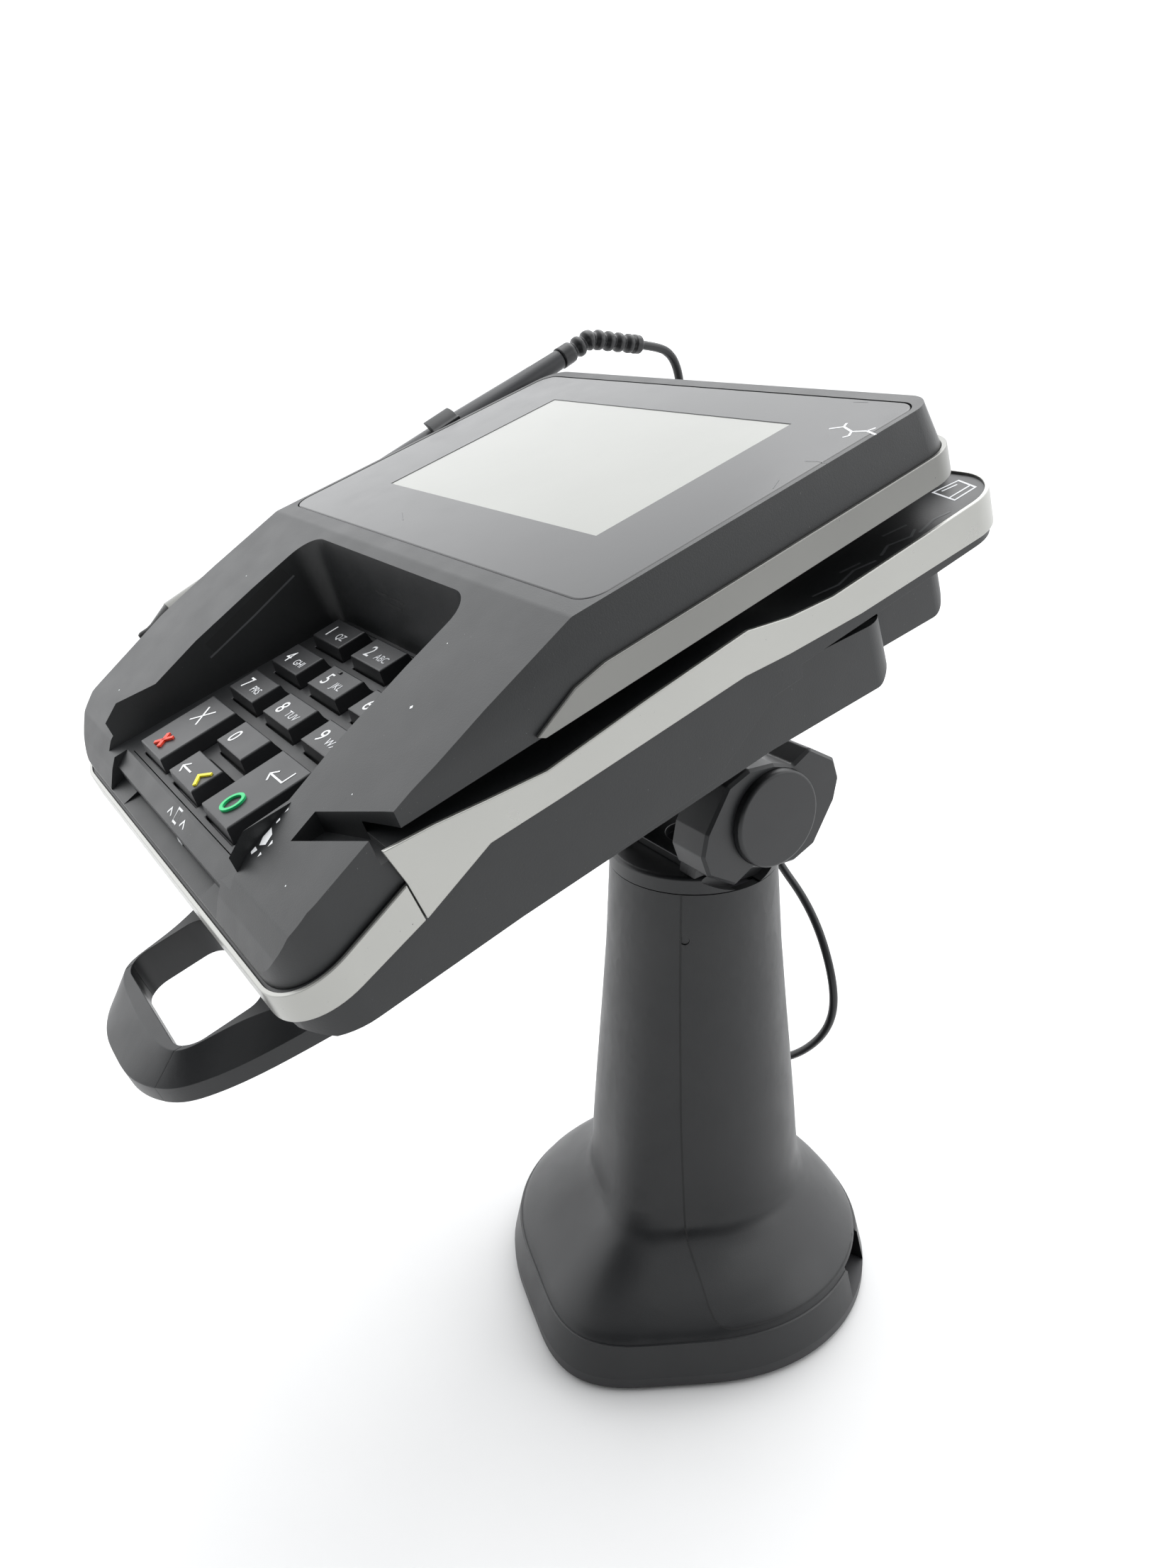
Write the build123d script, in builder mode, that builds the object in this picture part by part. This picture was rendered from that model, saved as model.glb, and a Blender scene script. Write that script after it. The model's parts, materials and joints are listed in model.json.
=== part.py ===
from build123d import *
import os
from math import atan2, cos, degrees, exp, pi, radians, sin, tan

# Card payment terminal on a swivelling, tilting counter pole.
# Row frame: origin on the counter at the pole's axis, +X to the user's right, -Y towards the user, +Z up.
os.makedirs("parts", exist_ok=True)


def save(builder, name):
    """Labels a finished piece and writes its STEP file."""
    builder.part.label = name
    export_step(builder.part, f"parts/{name}.step")


# ---------------------------------------------------------------- driving dimensions
tilt = 18.2  # how far the screen leans towards the user, degrees
base_turn = 22  # how far the base's nose is turned to the user's right, degrees
seam_turn = -14  # the same for the rear cover's seam
glass_y, glass_z = -62, 250  # middle of the screen's front edge
pivot_z = 166  # tilt axis above the counter
gap = 0.3  # air between pieces that move apart

glass_plane = Plane(
    origin=(0, glass_y, glass_z), x_dir=(1, 0, 0), z_dir=(0, -sin(radians(tilt)), cos(radians(tilt)))
)
profile_plane = Plane(origin=glass_plane.origin, x_dir=glass_plane.y_dir, z_dir=(1, 0, 0))
base_plane = Plane.XY.rotated((0, 0, base_turn))
seam_plane = Plane.XY.rotated((0, 0, seam_turn))
seam_side = Plane(origin=(0, 0, 0), x_dir=seam_plane.y_dir, z_dir=seam_plane.x_dir)

# terminal: half width, front and back ends, measured along the screen from its front edge
half_width = 75.4
front_end = -99.5
head_back = 73.5
body_back = 86
crown_height = 9.6  # sloping part of the head's sides, above the upper trim
head_floor = -16.4  # underside of the head, over the card-swipe gap
body_floor = -46.4

# keypad: pitch, key size and travel
key_pitch_x, key_pitch_y = 23.07, 11.94
key_width, key_depth, key_height = 15.8, 7.7, 3.4
key_skirt = 0.5  # how much a key widens towards its base, each side
key_clearance = 0.35
key_travel = 0.8
frame_thickness = 1.2
flange_thickness = 0.6
key_slope = 2.8  # the keypad against the screen, degrees

# pole and base
column_top = 141.6
shell_thickness = 2.6
plate_height = 5
ledge_height = 15
pole_radius, pole_bore = 15, 12.6


def level(height):
    """A plane parallel to the screen, this far out of the glass."""
    return glass_plane.offset(height)


def side(across):
    """A plane square to X, this far to the right: its x runs up the screen and its y out of the glass."""
    return profile_plane.offset(across)


key_plane = Plane(
    origin=glass_plane.from_local_coords((0, -60, -20.4 - key_height)),
    x_dir=(1, 0, 0),
    z_dir=(0, -sin(radians(tilt + key_slope)), cos(radians(tilt + key_slope))),
)


def plan(height, width, front, back, front_radius, back_radius):
    """A rounded outline parallel to the screen, symmetric about its middle."""
    with BuildSketch(level(height)) as outline:
        with BuildLine():
            Polyline((-width, front), (width, front), (width, back), (-width, back), close=True)
        make_face()
        fillet(outline.vertices().group_by(Axis.Y)[0], front_radius)
        fillet(outline.vertices().group_by(Axis.Y)[-1], back_radius)
    return outline.sketch


def profile(across, points, rounds=()):
    """A closed outline square to X; rounds are (corner number, radius) pairs."""
    with BuildSketch(side(across)) as outline:
        with BuildLine():
            Polyline(*points, close=True)
        make_face()
        for corner, radius in rounds:
            fillet(outline.vertices().sort_by_distance((*points[corner], 0))[0], radius)
    return outline.sketch


def slab(plane, width, depth, centre=(0, 0)):
    """A rectangle on a plane."""
    with BuildSketch(plane) as outline:
        with Locations(centre):
            Rectangle(width, depth)
    return outline.sketch


def circles(plane, places, radius):
    """Equal circles on a plane."""
    with BuildSketch(plane) as outline:
        with Locations(*places):
            Circle(radius)
    return outline.sketch


def polygon(plane, points):
    """A closed outline on a plane."""
    with BuildSketch(plane) as outline:
        with BuildLine():
            Polyline(*points, close=True)
        make_face()
    return outline.sketch


# ================================================================ base and pole (body: stand)
nose_spread = radians(19)


def base_radius(turn, middle, nose, back_drop):
    """Polar radius of the base's outline, this far round from the tip of its nose."""
    nose_part = nose * exp(-((turn / nose_spread) ** 2))
    return middle + nose_part - back_drop * ((1 - cos(turn)) / 2) ** 2


def base_outline(height, middle, nose, back_drop, count=36):
    """The base's outline at a height, as one smooth closed curve."""
    with BuildSketch(base_plane.offset(height)) as outline:
        with BuildLine():
            points = []
            for step in range(count):
                turn = 2 * pi * step / count - pi
                radius = base_radius(turn, middle, nose, back_drop)
                points.append((radius * sin(turn), -radius * cos(turn)))
            Spline(*points, periodic=True)
        make_face()
    return outline.sketch


# height, radius, how far the nose stands out, how much less the back reaches
flare = [
    (ledge_height, 57.4, 9.0, 12.0),
    (16.5, 56.7, 9.0, 11.6),
    (18, 55.5, 9.0, 11.0),
    (20, 53.3, 9.0, 10.0),
    (22.5, 50.2, 9.0, 8.4),
    (25, 46.6, 9.0, 6.6),
    (27.5, 42.4, 9.0, 4.4),
    (29.5, 38.9, 8.9, 2.6),
    (31.5, 35.9, 8.7, 1.1),
    (33.5, 34.2, 8.0, 0.4),
    (36, 33.4, 7.0, 0),
    (40, 32.9, 5.8, 0),
    (48, 32.2, 4.2, 0),
    (58, 31.4, 2.9, 0),
    (69, 30.4, 1.9, 0),
    (95, 27.9, 0.6, 0),
    (115, 26.1, 0, 0),
    (column_top, 24.4, 0, 0),
]
rim_bottom = (60.4, 9.1, 12)
rim_top = (58, 9, 12)


def inset(sizes, amount):
    """The same outline sizes, drawn in."""
    return (sizes[0] - amount, *sizes[1:])


def flare_loft(amount):
    """Sections of the flared base and column, drawn in."""
    return [base_outline(height, *inset(sizes, amount)) for height, *sizes in flare]


with BuildPart() as outer_form:
    loft(flare_loft(0), ruled=True)
with BuildPart() as inner_form:
    loft(flare_loft(shell_thickness), ruled=True)

seam_profile = [(80, 150), (-12.6, 150), (-16, 69), (-16.6, 36), (-17.6, 17), (80, 17)]
with BuildPart() as seam_cutter:
    with BuildSketch(seam_side.offset(-80)) as seam_outline:
        with BuildLine():
            Polyline(*seam_profile, close=True)
        make_face()
        fillet(seam_outline.vertices().sort_by_distance((-17.6, 17, 0))[0], 5)
    extrude(amount=160)

lock_plane = Plane(origin=(0, 0, 128), x_dir=(0, 0, 1), z_dir=(0.72, -0.694, 0))
lock_radius = 1.3
with BuildPart() as lock_hole:
    extrude(circles(lock_plane.offset(20), [(0, 0)], lock_radius + 0.1), amount=10)

with BuildPart() as base_shell:
    loft([base_outline(plate_height, *rim_bottom), base_outline(ledge_height, *rim_top)], ruled=True)
    inner_rim = inset(rim_top, shell_thickness)
    extrude(base_outline(plate_height, *inner_rim), amount=ledge_height - plate_height, mode=Mode.SUBTRACT)
    add(outer_form.part)
    add(inner_form.part, mode=Mode.SUBTRACT)
    add(seam_cutter.part, mode=Mode.SUBTRACT)
    # cable notch in the side of the rim
    extrude(slab(base_plane.offset(plate_height), 18, 17, (54, 6)), amount=11, mode=Mode.SUBTRACT)
    add(lock_hole.part, mode=Mode.SUBTRACT)
save(base_shell, "base_shell")

with BuildPart() as rear_cover:
    add(outer_form.part)
    add(inner_form.part, mode=Mode.SUBTRACT)
    add(seam_cutter.part, mode=Mode.INTERSECT)
    add(lock_hole.part, mode=Mode.SUBTRACT)
save(rear_cover, "rear_cover")

counter_radius = 38  # circle of the holes that screw the base to the counter
flange_places = [(20, 0), (-20, 0), (0, 20), (0, -20)]
with BuildPart() as base_plate:
    extrude(base_outline(1.5, *rim_bottom), amount=plate_height - 1.5)
    with Locations(base_plane.offset(1.5)):
        with PolarLocations(counter_radius, 4, start_angle=45):
            Hole(2.75, depth=12)
        with Locations(*flange_places):
            Hole(2.1, depth=12)
        Hole(9, depth=12)
save(base_plate, "base_plate")

with BuildPart() as foot_pad:
    extrude(base_outline(0, *inset(rim_bottom, 4)), amount=1.5)
    with Locations(base_plane):
        with PolarLocations(counter_radius, 4, start_angle=45):
            Hole(6, depth=12)
save(foot_pad, "foot_pad")

with BuildPart() as pole:
    with BuildSketch(Plane.XY.offset(plate_height)):
        Circle(26)
    extrude(amount=4)
    with BuildSketch(Plane.XY.offset(plate_height)):
        Circle(pole_radius)
    extrude(amount=123)
    with BuildSketch(Plane.XY.offset(plate_height)):
        Circle(pole_bore)
    extrude(amount=130, mode=Mode.SUBTRACT)
    with Locations(base_plane.offset(plate_height)):
        with Locations(*flange_places):
            Hole(2.1, depth=12)
save(pole, "pole")

with BuildPart() as flange_screws:
    with BuildSketch(base_plane.offset(2.2)):
        with Locations(*flange_places):
            Circle(2)
    extrude(amount=6.8)
    with BuildSketch(base_plane.offset(9)):
        with Locations(*flange_places):
            Circle(3.8)
    extrude(amount=2.6)
save(flange_screws, "flange_screws")

with BuildPart() as column_bush:
    with BuildSketch(Plane.XY.offset(128)):
        Circle(21)
        Circle(12.65, mode=Mode.SUBTRACT)
    extrude(amount=13)
save(column_bush, "column_bush")

# the small key lock that holds the rear cover, on the seam near the top of the column
with BuildPart() as cover_lock:
    extrude(circles(lock_plane.offset(21), [(0, 0)], lock_radius), amount=4)
save(cover_lock, "cover_lock")

# ================================================================ swivel head (body: swivel)
collar_bottom = column_top + 0.4
cheek_inner, cheek_outer = 13.4, 20
knob_reach = 24.1  # the knob's wings, from its axis
axle_radius = 4

with BuildPart() as swivel_collar:
    with BuildSketch(Plane.XY.offset(collar_bottom)):
        Circle(24.6)
    extrude(amount=5)
    fillet(swivel_collar.edges().group_by(Axis.Z)[-1], 1.2)
    with BuildSketch(Plane.XY.offset(112)):
        Circle(12.55)
    extrude(amount=collar_bottom - 112)
    with BuildSketch(Plane.XY.offset(112)):
        Circle(8)
    extrude(amount=60, mode=Mode.SUBTRACT)
    # room for the turning knob
    with BuildSketch(Plane(origin=(cheek_outer + 0.6, 0, pivot_z), x_dir=(0, 1, 0), z_dir=(1, 0, 0))):
        Circle(knob_reach + 0.3)
    extrude(amount=10, mode=Mode.SUBTRACT)
save(swivel_collar, "swivel_collar")

yoke_bottom = collar_bottom + 5
with BuildPart() as yoke:
    for inner in (cheek_inner, -cheek_outer):
        with BuildSketch(Plane(origin=(inner, 0, 0), x_dir=(0, 1, 0), z_dir=(1, 0, 0))):
            with BuildLine():
                Polyline((-15.5, yoke_bottom), (15.5, yoke_bottom), (13, pivot_z), (-13, pivot_z), close=True)
            make_face()
            with Locations((0, pivot_z)):
                Circle(13)
                Circle(axle_radius + 0.05, mode=Mode.SUBTRACT)
        extrude(amount=cheek_outer - cheek_inner)
    # ribs outside the cheeks and the plate that joins them
    with BuildSketch(Plane.XY.offset(yoke_bottom)):
        Rectangle(2 * cheek_outer, 27)
        Circle(8, mode=Mode.SUBTRACT)
    extrude(amount=2.4)
save(yoke, "yoke")

with BuildPart() as friction_washers:
    for start in (cheek_inner - 1.3, -cheek_inner + 0.2):
        with BuildSketch(Plane(origin=(start, 0, pivot_z), x_dir=(0, 1, 0), z_dir=(1, 0, 0))):
            Circle(10.5)
            Circle(axle_radius + 0.1, mode=Mode.SUBTRACT)
        extrude(amount=1.1)
save(friction_washers, "friction_washers")

with BuildPart() as axle_nut:
    with BuildSketch(Plane(origin=(-cheek_outer, 0, pivot_z), x_dir=(0, 1, 0), z_dir=(-1, 0, 0))):
        RegularPolygon(7.4, 6)
        Circle(axle_radius + 0.08, mode=Mode.SUBTRACT)
    extrude(amount=6)
    with BuildSketch(Plane(origin=(-cheek_outer - 6, 0, pivot_z), x_dir=(0, 1, 0), z_dir=(-1, 0, 0))):
        Circle(6.2)
    extrude(amount=3)
    fillet(axle_nut.edges().group_by(Axis.X)[0], 2.4)
save(axle_nut, "axle_nut")

# ================================================================ tilt knob (body: knob)
knob_inner, knob_outer, cap_face = 21, 33.6, 36
knob_plane = Plane(origin=(knob_inner, 0, pivot_z), x_dir=(0, 1, 0), z_dir=(1, 0, 0))
knob_cap_radius = 13.5
lobe = [(6.4, 13), (12.3, 16.4), (21.4, 11.1), (23.5, 5.1), (22.2, -1), (15.3, -12.4), (8.4, -15.4), (0, -15)]
wing_points = lobe + [(-x, -y) for x, y in lobe]
with BuildPart() as tilt_knob:
    with BuildSketch(knob_plane) as wing:
        with BuildLine():
            Polyline(*wing_points, close=True)
        make_face()
        fillet(wing.vertices(), 1.6)
    extrude(amount=knob_outer - knob_inner)
    chamfer(tilt_knob.faces().sort_by(Axis.X)[-1].edges(), 0.8)
    with BuildSketch(knob_plane.offset(knob_outer - knob_inner - 1.6)):
        Circle(knob_cap_radius + 0.1)
    extrude(amount=4, mode=Mode.SUBTRACT)
save(tilt_knob, "tilt_knob")

with BuildPart() as knob_cap:
    with BuildSketch(knob_plane.offset(knob_outer - knob_inner - 1.6)):
        Circle(knob_cap_radius)
    extrude(amount=cap_face - knob_outer + 1.6)
    fillet(knob_cap.edges().group_by(Axis.X)[-1], 1)
save(knob_cap, "knob_cap")

with BuildPart() as tilt_axle:
    with BuildSketch(Plane(origin=(-25.5, 0, pivot_z), x_dir=(0, 1, 0), z_dir=(1, 0, 0))):
        Circle(axle_radius)
    extrude(amount=25.5 + knob_inner)
save(tilt_axle, "tilt_axle")

# ================================================================ terminal casing (body: terminal)
corner_screws = [(-60, -78), (60, -78), (-60, -20), (60, -20)]
bracket_places = [(-22, -6), (22, -6), (-22, 32), (22, 32)]
board_places = [(-49, -20), (49, -20), (-49, 68), (49, 68)]

with BuildPart() as head_housing:
    extrude(plan(-40, half_width - 0.4, front_end + 0.5, head_back, 13, 9), amount=40 - crown_height)
    extrude(
        plan(-crown_height, half_width - 0.4, front_end + 0.5, head_back, 13, 9),
        amount=crown_height,
        taper=12,
    )
    crown = [
        (80, head_floor), (80, 0), (-24, 0), (-46, -6), (-64, -11.4), (-88.6, -20.6), (-93, -23.7),
        (-96.5, -28.2), (-101.5, -36.4), (-71.7, -25.7), (-71.7, head_floor),
    ]  # fmt: skip
    extrude(profile(-80, crown, [(2, 4), (3, 14), (6, 4), (7, 6)]), amount=160, mode=Mode.INTERSECT)
    # the block round the keypad well
    extrude(slab(level(-27.5), 92, 72, (0, -56)), amount=27.5 + head_floor)
    # room behind the screen
    extrude(slab(level(-12), 132, 78, (0, 25)), amount=10.6, mode=Mode.SUBTRACT)
    extrude(slab(level(head_floor), 111, 78, (0, 25)), amount=10, mode=Mode.SUBTRACT)
    extrude(plan(-1.6, 71.65, -19.65, 68.15, 5, 5), amount=3, mode=Mode.SUBTRACT)
    # keypad well, its walls leaning outwards
    with BuildSketch(key_plane.offset(-0.3)) as well:
        with BuildLine():
            Polyline((-38.3, 30.5), (38.3, 30.5), (46.5, -46), (-46.5, -46), close=True)
        make_face()
        fillet(well.vertices().group_by(Axis.Y)[-1], 4.5)
    extrude(amount=26, taper=-9.5, mode=Mode.SUBTRACT)
    extrude(slab(key_plane.offset(-14), 74, 60, (0, -0.4)), amount=16, mode=Mode.SUBTRACT)
    # chip-card bay: sloping lip, lower lip and the slot between them
    bay = [(-90.8, -20), (-90.8, -25.4), (-95, -28.2), (-95, -31.6), (-106, -34.6), (-106, -20)]
    extrude(profile(-40, bay), amount=80, mode=Mode.SUBTRACT)
    slot = [(-100, -32.75), (-100, -30.9), (-80, -29.9), (-80, -31.75)]
    extrude(profile(-29, slot), amount=58, mode=Mode.SUBTRACT)
    # open front end of the card-swipe gap
    groove = [(55.2, -82.3), (55, -76), (72.3, -69.2), (84, -65), (84, -70.4), (75.3, -74)]
    extrude(polygon(level(-20.5), groove), amount=20, mode=Mode.SUBTRACT)
    # pocket for the magnetic head, in the underside over the swipe gap
    extrude(slab(level(head_floor), 9.2, 12.2, (66, 10)), amount=6, mode=Mode.SUBTRACT)
save(head_housing, "head_housing")

ledge = [
    (-75, -18.6), (-63, -19.4), (-52, -20.9), (-40, -22.6), (-16, -21.4), (9, -20.7), (20, -23.2),
    (31, -24.8), (92, -24.6), (92, -8), (-75, -8),
]  # fmt: skip
with BuildPart() as housing_room:
    extrude(plan(-44.2, half_width - 2.4, front_end + 3, body_back - 2.5, 11, 10), amount=17.4)
    room = [(-97, -44.2), (-9, -44.2), (11, -34.8), (90, -32.2), (90, -26.8), (-97, -26.8)]
    extrude(profile(-80, room), amount=160, mode=Mode.INTERSECT)
    extrude(slab(level(-30), 111, 146, (0, -3)), amount=14)

with BuildPart() as lower_housing:
    extrude(plan(body_floor, half_width, front_end, body_back, 13, 12), amount=body_floor * -1 + head_floor)
    hull = [
        (-99.9, -36), (-99.9, -39.5), (-98.4, -44), (-94, body_floor), (-7, body_floor), (12, -37.2),
        (20, -37.2), (20.6, -34.4), (90, -34.4), (90, head_floor), (-71.7, head_floor), (-71.7, -25.9),
    ]  # fmt: skip
    extrude(profile(-80, hull), amount=160, mode=Mode.INTERSECT)
    extrude(profile(58, ledge), amount=20, mode=Mode.SUBTRACT)
    add(housing_room.part, mode=Mode.SUBTRACT)
    extrude(circles(level(-46), board_places, 3.4), amount=15 - 0.05)
    extrude(circles(level(-44), board_places, 1.3), amount=14, mode=Mode.SUBTRACT)
    extrude(circles(level(-50), corner_screws, 1.6), amount=10, mode=Mode.SUBTRACT)
save(lower_housing, "lower_housing")

cradle_slope = 2.6 / 96  # how fast the cradle's underside drops towards the back


def cradle_bottom(along):
    """Height of the cradle's underside, this far up the screen."""
    return -49 - (along + 84) * cradle_slope


with BuildPart() as cradle:
    underside = [
        (-86, -46.6), (-7, -46.6), (12, -37.4), (30, -37.4), (51, -40), (51, -50.4), (44, -54.4),
        (12, cradle_bottom(12)), (-84, cradle_bottom(-84)), (-86, -48.4),
    ]  # fmt: skip
    extrude(plan(-56, 71, -86, 51, 6, 8), amount=24)
    extrude(profile(-80, underside, [(6, 4)]), amount=160, mode=Mode.INTERSECT)
    cover_bay = [(14.5, -30), (49, -30), (49, -50), (14.5, -49.6)]
    extrude(profile(-68.6, cover_bay), amount=137.2, mode=Mode.SUBTRACT)
    extrude(circles(level(-56), corner_screws, 1.6), amount=12, mode=Mode.SUBTRACT)
    extrude(circles(level(-56), corner_screws, 3.3), amount=56 - 48.2, mode=Mode.SUBTRACT)
    extrude(circles(level(-56), bracket_places, 1.75), amount=11, mode=Mode.SUBTRACT)
save(cradle, "cradle")

plug_place = (-50, 68)
with BuildPart() as cable_cover:
    extrude(plan(-57.4, 58, 51.4, 83, 2.5, 7), amount=22.8)
    tail = [(51.4, -34.6), (83, -34.6), (83, -50), (78, -57.2), (57.5, -55.6), (51.4, -50.6)]
    extrude(profile(-80, tail, [(3, 5), (4, 3)]), amount=160, mode=Mode.INTERSECT)
    extrude(slab(level(-53.5), 111, 26, (0, 67.2)), amount=30, mode=Mode.SUBTRACT)
    extrude(circles(level(-60), [plug_place], 3.5), amount=10, mode=Mode.SUBTRACT)
save(cable_cover, "cable_cover")

# silver trims: bands of the outline, cut to their side profiles
trim_out, trim_in = 1.0, 0.02
with BuildPart() as upper_trim:
    extrude(plan(-22, half_width + 0.6, front_end, head_back + 1.4, 13, 10), amount=20)
    extrude(plan(-22, half_width - 0.38, front_end, head_back + 0.02, 13, 9), amount=20, mode=Mode.SUBTRACT)
    blade = [(-39.5, -15.4), (-29.3, -10.9), (-21.9, -9.7), (80, -9.7), (80, -16), (-38, -16.4)]
    extrude(profile(-80, blade), amount=160, mode=Mode.INTERSECT)
save(upper_trim, "upper_trim")

with BuildPart() as side_trim:
    extrude(plan(-45, half_width + trim_out, front_end - trim_out, body_back + trim_out, 14, 13), amount=32)
    extrude(
        plan(-45, half_width + trim_in, front_end, body_back + trim_in, 13, 12),
        amount=32,
        mode=Mode.SUBTRACT,
    )
    rail = [
        (-73.2, -17.6), (-63.2, -18.6), (-52.3, -20.3), (-40.2, -22), (-16, -20.8), (9.2, -20.1),
        (19.9, -22.8), (31.3, -24.3), (90, -24), (90, -32.8), (59, -32), (37.7, -31.6), (17.7, -30.1),
        (6, -28.7), (-40, -28.5), (-55.2, -28.2), (-71.3, -34.1), (-71.8, -25.6),
    ]  # fmt: skip
    extrude(profile(-80, rail), amount=160, mode=Mode.INTERSECT)
save(side_trim, "side_trim")

with BuildPart() as front_trim:
    extrude(plan(-45, half_width + trim_out, front_end - trim_out, body_back, 14, 13), amount=32)
    extrude(
        plan(-45, half_width + trim_in, front_end - trim_in, body_back, 13, 12),
        amount=32,
        mode=Mode.SUBTRACT,
    )
    bow = [(-72, -25.8), (-101.6, -36.2), (-101.6, -42.3), (-97, -41), (-71.6, -34.1)]
    extrude(profile(-80, bow), amount=160, mode=Mode.INTERSECT)
save(front_trim, "front_trim")

# ---------------------------------------------------------------- screen
window_width, window_depth = 95.04, 53.86
with BuildPart() as screen_bezel:
    extrude(plan(-1.5, 71.5, -19.5, 68, 5, 5), amount=1.5)
    extrude(slab(level(-2), window_width, window_depth, (0, window_depth / 2)), amount=3, mode=Mode.SUBTRACT)
    chamfer(screen_bezel.faces().sort_by(glass_plane.location.z_axis)[-1].outer_wire().edges(), 0.3)
save(screen_bezel, "screen_bezel")

with BuildPart() as touch_panel:
    extrude(slab(level(-1.5), window_width - 0.06, window_depth - 0.06, (0, window_depth / 2)), amount=1.35)
save(touch_panel, "touch_panel")

with BuildPart() as lcd_panel:
    extrude(slab(level(-5), 104, 62, (0, window_depth / 2)), amount=3.4)
save(lcd_panel, "lcd_panel")

# ---------------------------------------------------------------- keypad
first_row = 23.58  # middle of the top row, up the keypad from its middle


def key_row(row):
    """Middle of a key row, up the keypad."""
    return first_row - row * key_pitch_y


tall_depth = key_pitch_y + key_depth
tall_middle = (key_row(3) + key_row(4)) / 2
# name: across, along, depth
keys = {}
for row in range(3):
    for column in range(3):
        keys[str(3 * row + column + 1)] = ((column - 1) * key_pitch_x, key_row(row), key_depth)
keys["0"] = (0, key_row(3), key_depth)
keys["clear"] = (0, key_row(4), key_depth)
keys["cancel"] = (-key_pitch_x, tall_middle, tall_depth)
keys["enter"] = (key_pitch_x, tall_middle, tall_depth)

base_width = key_width + 2 * key_skirt
for name, (across, along, depth) in keys.items():
    base_depth = depth + 2 * key_skirt
    with BuildPart() as key:
        footprint = (base_width, base_depth, (across, along))
        extrude(slab(key_plane, *footprint), amount=key_height, taper=degrees(atan2(key_skirt, key_height)))
        fillet(key.faces().sort_by(key_plane.location.z_axis)[-1].edges(), 0.45)
        stem = frame_thickness + 0.2
        extrude(slab(key_plane.offset(-stem), *footprint), amount=stem)
        extrude(
            slab(
                key_plane.offset(-stem - flange_thickness),
                base_width + 1.8,
                base_depth + 1.8,
                (across, along),
            ),
            amount=flange_thickness,
        )
    save(key, f"key_{name}")

with BuildPart() as keypad_frame:
    extrude(slab(key_plane.offset(-frame_thickness), 73.8, 59.6, (0, -0.4)), amount=frame_thickness)
    for across, along, depth in keys.values():
        hole_size = (base_width + 2 * key_clearance, depth + 2 * key_skirt + 2 * key_clearance)
        extrude(slab(key_plane.offset(-3), *hole_size, (across, along)), amount=5, mode=Mode.SUBTRACT)
save(keypad_frame, "keypad_frame")

membrane_top = -(frame_thickness + 0.2 + flange_thickness + key_travel + 0.2)
with BuildPart() as key_membrane:
    extrude(slab(key_plane.offset(membrane_top - 0.6), 73, 59), amount=0.6)
save(key_membrane, "key_membrane")

with BuildPart() as key_board:
    extrude(slab(key_plane.offset(membrane_top - 1.8), 73, 59), amount=1.2)
save(key_board, "key_board")

reader_top = membrane_top - 1.9
with BuildPart() as chip_reader:
    extrude(slab(key_plane.offset(reader_top - 5.4), 62, 44, (0, -7.5)), amount=5.4)
    extrude(slab(key_plane.offset(reader_top - 2.3), 56, 44, (0, -10)), amount=1.8, mode=Mode.SUBTRACT)
save(chip_reader, "chip_reader")

# ---------------------------------------------------------------- inside the casing
with BuildPart() as main_board:
    extrude(slab(level(-31), 108, 100, (0, 25)), amount=1.6)
    extrude(circles(level(-31), board_places, 1.6), amount=1.6, mode=Mode.SUBTRACT)
save(main_board, "main_board")

with BuildPart() as shield_can:
    extrude(slab(level(-29.35), 44, 34, (-18, 30)), amount=3.5)
save(shield_can, "shield_can")

with BuildPart() as speaker:
    extrude(circles(level(-29.35), [(30, 52)], 11), amount=6)
save(speaker, "speaker")

with BuildPart() as magnetic_head:
    extrude(slab(level(-17.4), 9, 12, (66, 10)), amount=6.6)
    fillet(magnetic_head.faces().sort_by(glass_plane.location.z_axis)[0].edges().filter_by(Axis.X), 0.8)
save(magnetic_head, "magnetic_head")

with BuildPart() as housing_screws:
    extrude(circles(level(-49.2), corner_screws, 3), amount=1)
    extrude(circles(level(-48.2), corner_screws, 1.5), amount=5)
    extrude(circles(level(-29.35), board_places, 2.8), amount=1.4)
    extrude(circles(level(-36), board_places, 1.2), amount=36 - 29.35)
save(housing_screws, "housing_screws")

# ---------------------------------------------------------------- bracket under the cradle
pivot = glass_plane.to_local_coords(Vector(0, 0, pivot_z))
knuckle_half = 11.9
with BuildPart() as tilt_bracket:
    plate = [(-16, cradle_bottom(-16)), (12, cradle_bottom(12)), (42, -54.3), (42, -58.6), (-16, -58.6)]
    extrude(profile(-30, plate), amount=60)
    web = [(6, -57), (42, -57), (pivot.Y + 12, pivot.Z), (pivot.Y - 12, pivot.Z)]
    extrude(profile(-knuckle_half, web), amount=2 * knuckle_half)
    with BuildSketch(side(-knuckle_half)):
        with Locations((pivot.Y, pivot.Z)):
            Circle(12)
    extrude(amount=2 * knuckle_half)
    with BuildSketch(side(-20)):
        with Locations((pivot.Y, pivot.Z)):
            Circle(axle_radius + 0.05)
    extrude(amount=40, mode=Mode.SUBTRACT)
    extrude(circles(level(-62), bracket_places, 1.75), amount=12, mode=Mode.SUBTRACT)
save(tilt_bracket, "tilt_bracket")

with BuildPart() as bracket_screws:
    extrude(circles(level(-61), bracket_places, 3.2), amount=2.4)
    extrude(circles(level(-58.6), bracket_places, 1.7), amount=11.6)
save(bracket_screws, "bracket_screws")

# ---------------------------------------------------------------- front handle
handle_bottom, handle_waist, handle_top = -75.6, -71.2, -65.3


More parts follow.
